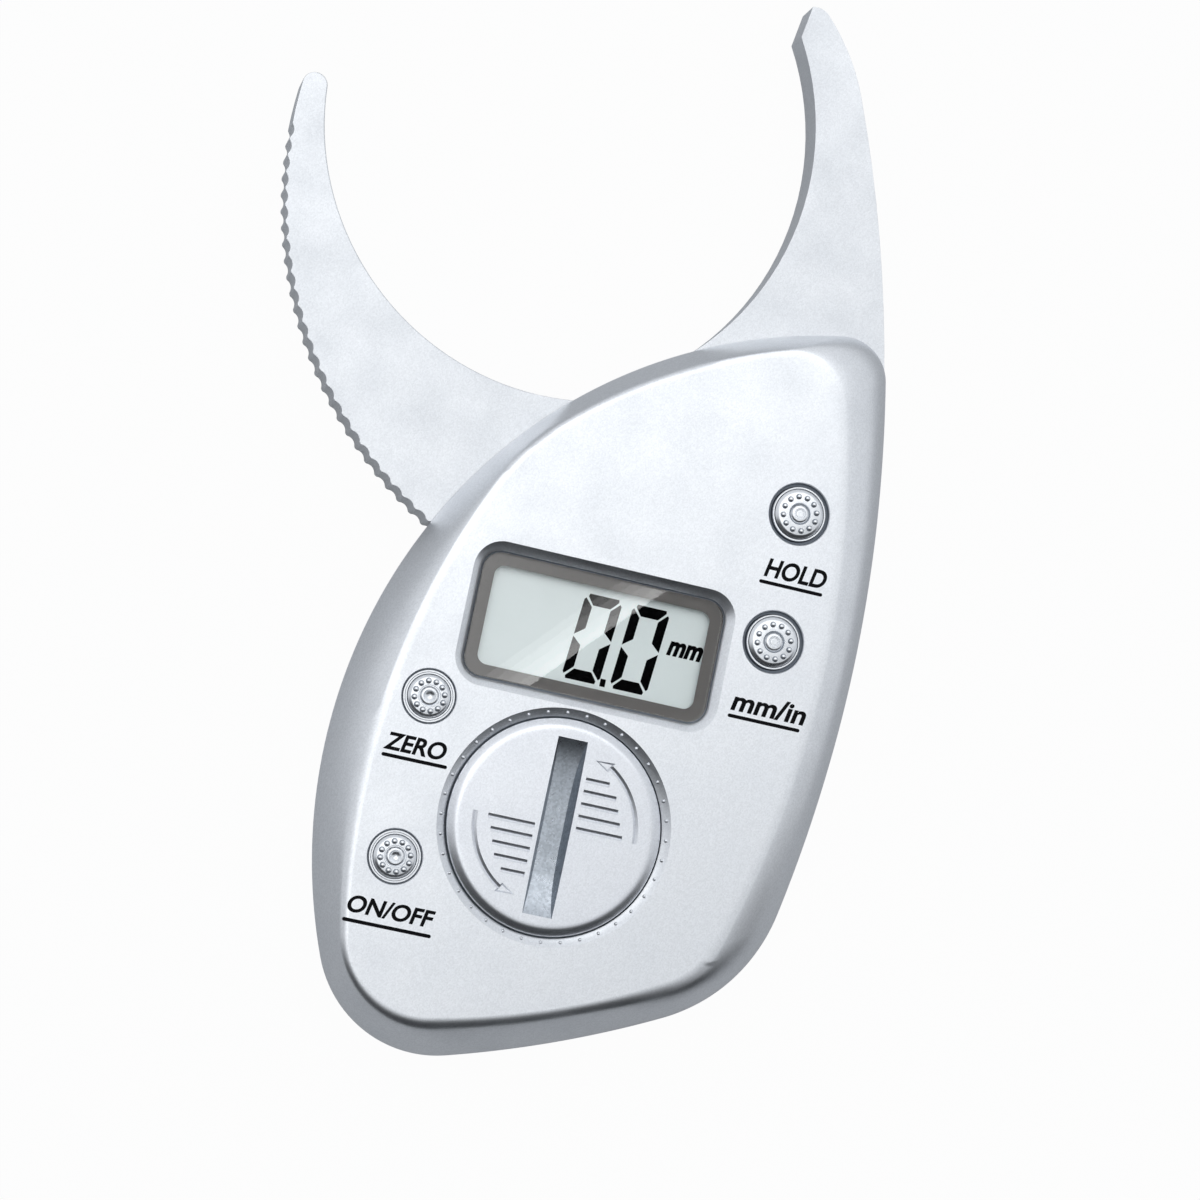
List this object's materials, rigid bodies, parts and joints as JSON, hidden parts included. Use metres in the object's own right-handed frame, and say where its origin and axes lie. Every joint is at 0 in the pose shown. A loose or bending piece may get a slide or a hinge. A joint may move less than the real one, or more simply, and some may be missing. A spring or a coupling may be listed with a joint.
{
  "type": "skinfold caliper",
  "caption": "Digital skinfold caliper: leaf-shaped housing with a display, round buttons and battery cover, one fixed and one hinged crescent jaw.",
  "frame": {"origin": "where the axis of the jaw's hinge meets the flat back face", "axes": "+Z out of the raised face with the display; +Y from the hinge towards the tip of the fixed jaw; +X to the right, seen from the front"},
  "size_m": [0.1041, 0.1746, 0.0182],
  "materials": {
    "silver_shell": "moulded ABS with silver paint, satin",
    "silver_jaw": "moulded ABS with silver paint, satin",
    "silver_cover": "moulded ABS with silver paint, satin",
    "white_button": "moulded ABS with pale silver paint",
    "clear_lens": "clear acrylic, polished",
    "grey_print": "grey ink on the lens's rear face",
    "display_glass": "liquid crystal cell with its reflector",
    "display_frame": "moulded ABS",
    "connector_rubber": "layered conductive silicone",
    "steel": "stainless steel",
    "spring_steel": "stamped stainless spring strip",
    "screw_steel": "zinc-plated steel",
    "board_laminate": "glass-fibre laminate with green lacquer",
    "black_resin": "moulded black resin",
    "white_acetal": "moulded acetal",
    "cell_steel": "nickel-plated steel can"
  },
  "bodies": {
    "root": {"rear_shell": "silver_shell", "front_shell": "silver_shell", "thrust_washer": "white_acetal", "wave_washer": "spring_steel", "pivot_washer": "steel", "pivot_screw": "screw_steel", "encoder_axle": "steel", "encoder_sensor": "black_resin", "main_board": "board_laminate", "controller_chip": "black_resin", "crystal": "cell_steel", "display_lens": "clear_lens", "display_mask": "grey_print", "lcd_glass": "display_glass", "lcd_frame": "display_frame", "zebra_strip_upper": "connector_rubber", "zebra_strip_lower": "connector_rubber", "hold_dome": "spring_steel", "units_dome": "spring_steel", "zero_dome": "spring_steel", "power_dome": "spring_steel", "coin_cell": "cell_steel", "cell_contact_negative": "spring_steel", "cell_contact_positive": "spring_steel", "case_screws": "screw_steel", "board_screws": "screw_steel"},
    "jaw": {"movable_jaw": "silver_jaw"},
    "encoder": {"encoder_gear": "white_acetal", "encoder_wheel": "black_resin"},
    "hold_button": {"hold_button": "white_button"},
    "units_button": {"units_button": "white_button"},
    "zero_button": {"zero_button": "white_button"},
    "power_button": {"power_button": "white_button"},
    "battery_cover": {"battery_cover": "silver_cover"}
  },
  "joints": [
    {"name": "jaw_hinge", "type": "hinge", "parent": "root", "child": "jaw", "pos_m": [0, 0, 0.0065], "axis": [0, 0, 1], "range_deg": [-58.9, 0]},
    {"name": "encoder_spin", "type": "hinge", "parent": "root", "child": "encoder", "pos_m": [0, -0.0248, 0.005], "axis": [0, 0, 1], "range_deg": [0, 246]},
    {"name": "hold_press", "type": "slide", "parent": "root", "child": "hold_button", "axis": [0, 0, -1], "range_m": [0, 0.0005], "stiffness_N_per_m": 1500, "deforming": ["hold_dome"]},
    {"name": "units_press", "type": "slide", "parent": "root", "child": "units_button", "axis": [0, 0, -1], "range_m": [0, 0.0005], "stiffness_N_per_m": 1500, "deforming": ["units_dome"]},
    {"name": "zero_press", "type": "slide", "parent": "root", "child": "zero_button", "axis": [0, 0, -1], "range_m": [0, 0.0005], "stiffness_N_per_m": 1500, "deforming": ["zero_dome"]},
    {"name": "power_press", "type": "slide", "parent": "root", "child": "power_button", "axis": [0, 0, -1], "range_m": [0, 0.0005], "stiffness_N_per_m": 1500, "deforming": ["power_dome"]},
    {"name": "battery_cover_turn", "type": "hinge", "parent": "root", "child": "battery_cover", "pos_m": [-0.0025, -0.0551, 0.016], "axis": [0, 0, 1], "range_deg": [0, 45]}
  ],
  "couplings": [
    {"joint": "encoder_spin", "follows": "jaw_hinge", "ratio": -4.1667}
  ]
}
